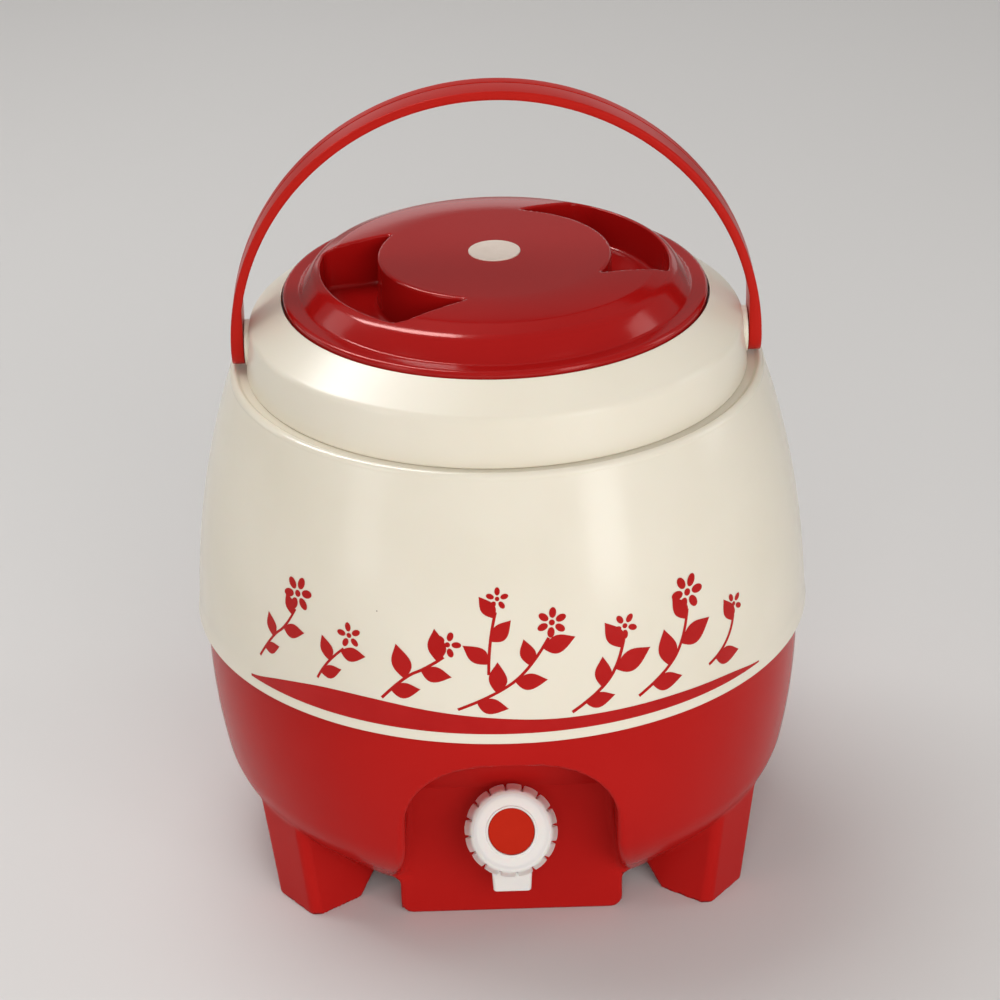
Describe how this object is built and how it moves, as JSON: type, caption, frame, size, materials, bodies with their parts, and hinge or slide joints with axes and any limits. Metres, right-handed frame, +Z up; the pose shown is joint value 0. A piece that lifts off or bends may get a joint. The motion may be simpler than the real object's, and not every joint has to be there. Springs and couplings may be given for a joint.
{
  "type": "insulated water jug",
  "caption": "Barrel-shaped insulated water jug with a screw lid, a swing handle and a front tap in an arched niche, on short legs.",
  "frame": {"origin": "on the floor, in the middle of the jug's body, between the legs", "axes": "+Z up along the jug's axis, -Y towards the tap at the front, +X to the right seen from the front"},
  "size_m": [0.34, 0.34, 0.4423],
  "materials": {
    "base_red": "glossy moulded plastic, deep red",
    "barrel_cream": "glossy moulded plastic, cream, with a red leaf print",
    "collar_cream": "glossy moulded plastic, cream",
    "lid_red": "high-gloss moulded plastic, deep red",
    "badge_cream": "glossy plastic, cream",
    "handle_red": "glossy moulded plastic, red",
    "tank_white": "natural food-grade plastic",
    "cover_white": "natural food-grade plastic",
    "foam_yellow": "rigid insulating foam",
    "gasket_grey": "silicone rubber",
    "tap_white": "glossy moulded plastic, warm white",
    "cap_red": "glossy plastic, red",
    "nut_white": "moulded plastic",
    "stem_white": "moulded plastic",
    "washer_black": "rubber",
    "screw_steel": "stainless steel",
    "retainer_steel": "spring steel",
    "plug_red": "moulded plastic, red"
  },
  "bodies": {
    "jug_body": {"base_shell": "base_red", "upper_shell": "barrel_cream", "neck_collar": "collar_cream", "inner_tank": "tank_white", "neck_ring": "tank_white", "neck_gasket": "gasket_grey", "body_foam": "foam_yellow", "foam_plug": "plug_red", "tap_body": "tap_white", "tap_outer_gasket": "gasket_grey", "tap_inner_gasket": "gasket_grey", "tap_spacer": "nut_white", "tap_nut": "nut_white"},
    "bail": {"bail_handle": "handle_red", "handle_retainer_left": "retainer_steel", "handle_retainer_right": "retainer_steel"},
    "lid_ring": {"lid_gasket": "gasket_grey"},
    "lid": {"lid_top": "lid_red", "lid_foam": "foam_yellow", "lid_inner_cover": "cover_white", "lid_badge": "badge_cream"},
    "plunger": {"valve_stem": "stem_white", "valve_washer": "washer_black", "stem_ring": "washer_black", "knob_screw": "screw_steel"},
    "knob": {"tap_knob": "tap_white", "knob_cap": "cap_red"}
  },
  "joints": [
    {"name": "bail_swing", "type": "hinge", "parent": "jug_body", "child": "bail", "pos_m": [0, 0, 0.2995], "axis": [1, 0, 0], "range_deg": [-90, 90]},
    {"name": "lid_lift", "type": "slide", "parent": "jug_body", "child": "lid_ring", "axis": [0, 0, 1], "range_m": [0, 0.036]},
    {"name": "lid_turn", "type": "hinge", "parent": "lid_ring", "child": "lid", "pos_m": [0, 0, 0.3295], "axis": [0, 0, 1], "range_deg": [0, 360]},
    {"name": "plunger_travel", "type": "slide", "parent": "jug_body", "child": "plunger", "axis": [0, -0.866, 0.5], "range_m": [0, 0.005]},
    {"name": "tap_turn", "type": "hinge", "parent": "plunger", "child": "knob", "pos_m": [0, -0.14701, 0.0765], "axis": [0, -0.866, 0.5], "range_deg": [0, 225]}
  ],
  "couplings": [
    {"joint": "lid_lift", "follows": "lid_turn", "m_per_rad": 0.0057296},
    {"joint": "plunger_travel", "follows": "tap_turn", "m_per_rad": 0.0012732}
  ]
}
